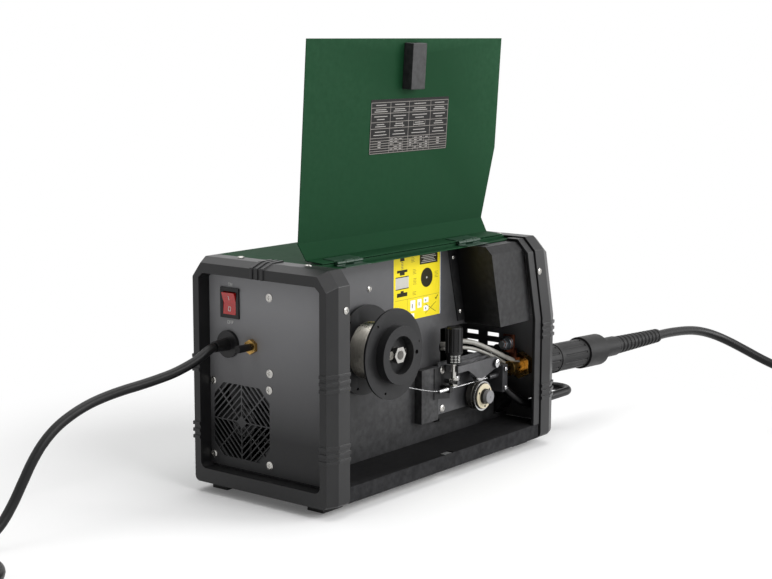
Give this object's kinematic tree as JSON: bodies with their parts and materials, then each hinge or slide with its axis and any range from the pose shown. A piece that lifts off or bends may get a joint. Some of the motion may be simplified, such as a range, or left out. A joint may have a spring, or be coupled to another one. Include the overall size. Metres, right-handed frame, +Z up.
{
  "type": "wire feed welding machine",
  "caption": "Portable box-shaped wire-feed welding machine with bumper frames, open wire door, spool, feeder, torch on a hose and a mains cord.",
  "frame": {"origin": "middle of the footprint, on the floor that the rubber feet stand on", "axes": "+X towards the front with the sockets and the torch, +Y towards the plain side, +Z up; the wire door is on the -Y side"},
  "size_m": [1.452, 0.4616, 0.493],
  "materials": {
    "bumper_plastic": "satin moulded plastic",
    "tray_paint": "grey powder coat",
    "foot_rubber": "matte",
    "panel_plastic": "fine grain plastic",
    "wall_paint": "dark grey powder coat",
    "box_plastic": "satin black",
    "green_paint": "dark green powder coat",
    "black_plastic": "moulded plastic",
    "plated_steel": "zinc plated",
    "red_rocker": "glossy red",
    "cord_rubber": "smooth black rubber",
    "brass": "turned brass",
    "grey_metal": "grey paint",
    "spool_plastic": "recycled black plastic",
    "wire": "bright wire",
    "roll_steel": "ground steel",
    "copper": "bare copper",
    "grip_plastic": "fluted black plastic",
    "red_trigger": "red plastic",
    "core_steel": "varnished laminations",
    "sink_aluminium": "extruded",
    "board_green": "circuit board"
  },
  "bodies": {
    "machine": {"rear_frame": "bumper_plastic", "front_frame": "bumper_plastic", "base_tray": "tray_paint", "rubber_feet": "foot_rubber", "rear_panel": "panel_plastic", "front_panel": "panel_plastic", "control_panel": "panel_plastic", "divider_wall": "wall_paint", "control_box": "box_plastic", "outer_cover": "green_paint", "hinge_leaves": "plated_steel", "carry_handle": "bumper_plastic", "screws": "plated_steel", "switch_body": "black_plastic", "mains_gland": "black_plastic", "mains_cord": "cord_rubber", "mains_coil": "cord_rubber", "mains_plug": "cord_rubber", "gas_inlet": "brass", "gas_cap": "foot_rubber", "gas_valve": "grey_metal", "fan_frame": "black_plastic", "spool_shaft": "plated_steel", "spool_nut": "plated_steel", "welding_wire": "wire", "inlet_guide": "plated_steel", "feeder_plate": "grey_metal", "feed_motor": "black_plastic", "outlet_guide": "grey_metal", "torch_socket": "brass", "socket_nut": "brass", "busbar": "copper", "torch_relief": "grip_plastic", "torch_hose": "cord_rubber", "torch_coil": "cord_rubber", "torch_handle": "grip_plastic", "torch_neck": "copper", "output_sockets": "black_plastic", "polarity_plug": "cord_rubber", "polarity_lead": "cord_rubber", "transformer": "core_steel", "heat_sink": "sink_aluminium", "circuit_board": "board_green"},
    "door": {"wire_door": "green_paint", "latch_housing": "black_plastic", "door_leaves": "plated_steel"},
    "latch": {"latch_slide": "black_plastic"},
    "rocker": {"switch_rocker": "red_rocker"},
    "fan": {"fan_rotor": "black_plastic"},
    "spool": {"wire_spool": "spool_plastic", "wire_winding": "wire"},
    "drive": {"drive_roll": "roll_steel"},
    "arm": {"idler_arm": "grey_metal"},
    "idler": {"idler_roll": "roll_steel"},
    "tension": {"tension_screw": "plated_steel"},
    "tension_cap": {"tension_knob": "black_plastic"},
    "voltage": {"voltage_knob": "black_plastic"},
    "speed": {"speed_knob": "black_plastic"},
    "grip": {"torch_grip": "grip_plastic"},
    "trigger": {"torch_trigger": "red_trigger"}
  },
  "joints": [
    {"name": "door_hinge", "type": "hinge", "parent": "machine", "child": "door", "pos_m": [0, -0.0614, 0.2603], "axis": [1, 0, 0], "range_deg": [0, 176.5]},
    {"name": "latch_slide", "type": "slide", "parent": "door", "child": "latch", "axis": [0, -0.061, 0.9981], "range_m": [0, 0.007]},
    {"name": "switch_rocker", "type": "hinge", "parent": "machine", "child": "rocker", "pos_m": [-0.197, 0.0535, 0.2117], "axis": [0, 1, 0], "range_deg": [0, 14]},
    {"name": "fan_spin", "type": "hinge", "parent": "machine", "child": "fan", "pos_m": [-0.184, 0.0392, 0.082], "axis": [1, 0, 0], "continuous": true},
    {"name": "spool_spin", "type": "hinge", "parent": "machine", "child": "spool", "pos_m": [-0.0888, -0.0645, 0.156], "axis": [0, 1, 0], "continuous": true},
    {"name": "drive_spin", "type": "hinge", "parent": "machine", "child": "drive", "pos_m": [0.106, -0.062, 0.073], "axis": [0, 1, 0], "continuous": true},
    {"name": "idler_arm_lift", "type": "hinge", "parent": "machine", "child": "arm", "pos_m": [0.128, -0.057, 0.1095], "axis": [0, 1, 0], "range_deg": [0, 2]},
    {"name": "idler_spin", "type": "hinge", "parent": "arm", "child": "idler", "pos_m": [0.1035, -0.062, 0.1033], "axis": [0, 1, 0], "continuous": true},
    {"name": "tension_swing", "type": "hinge", "parent": "machine", "child": "tension", "pos_m": [0.053, -0.062, 0.098], "axis": [0, 1, 0], "range_deg": [-60, 0]},
    {"name": "tension_turn", "type": "hinge", "parent": "tension", "child": "tension_cap", "pos_m": [0.053, -0.062, 0.14], "axis": [0, 0, 1], "range_deg": [-720, 720]},
    {"name": "voltage_turn", "type": "hinge", "parent": "machine", "child": "voltage", "pos_m": [0.1915, -0.044, 0.188], "axis": [0.9741, 0, 0.226], "range_deg": [-135, 135]},
    {"name": "speed_turn", "type": "hinge", "parent": "machine", "child": "speed", "pos_m": [0.1915, 0.044, 0.188], "axis": [0.9741, 0, 0.226], "range_deg": [-135, 135]},
    {"name": "grip_turn", "type": "hinge", "parent": "machine", "child": "grip", "pos_m": [0.198, -0.064, 0.0966], "axis": [0.999, 0, -0.0454], "continuous": true},
    {"name": "trigger_press", "type": "slide", "parent": "machine", "child": "trigger", "axis": [0, 0, -1], "range_m": [0, 0.0022], "stiffness_N_per_m": 400, "springref_m": -0.001}
  ],
  "couplings": [
    {"joint": "idler_spin", "follows": "drive_spin", "ratio": -1.5351}
  ]
}
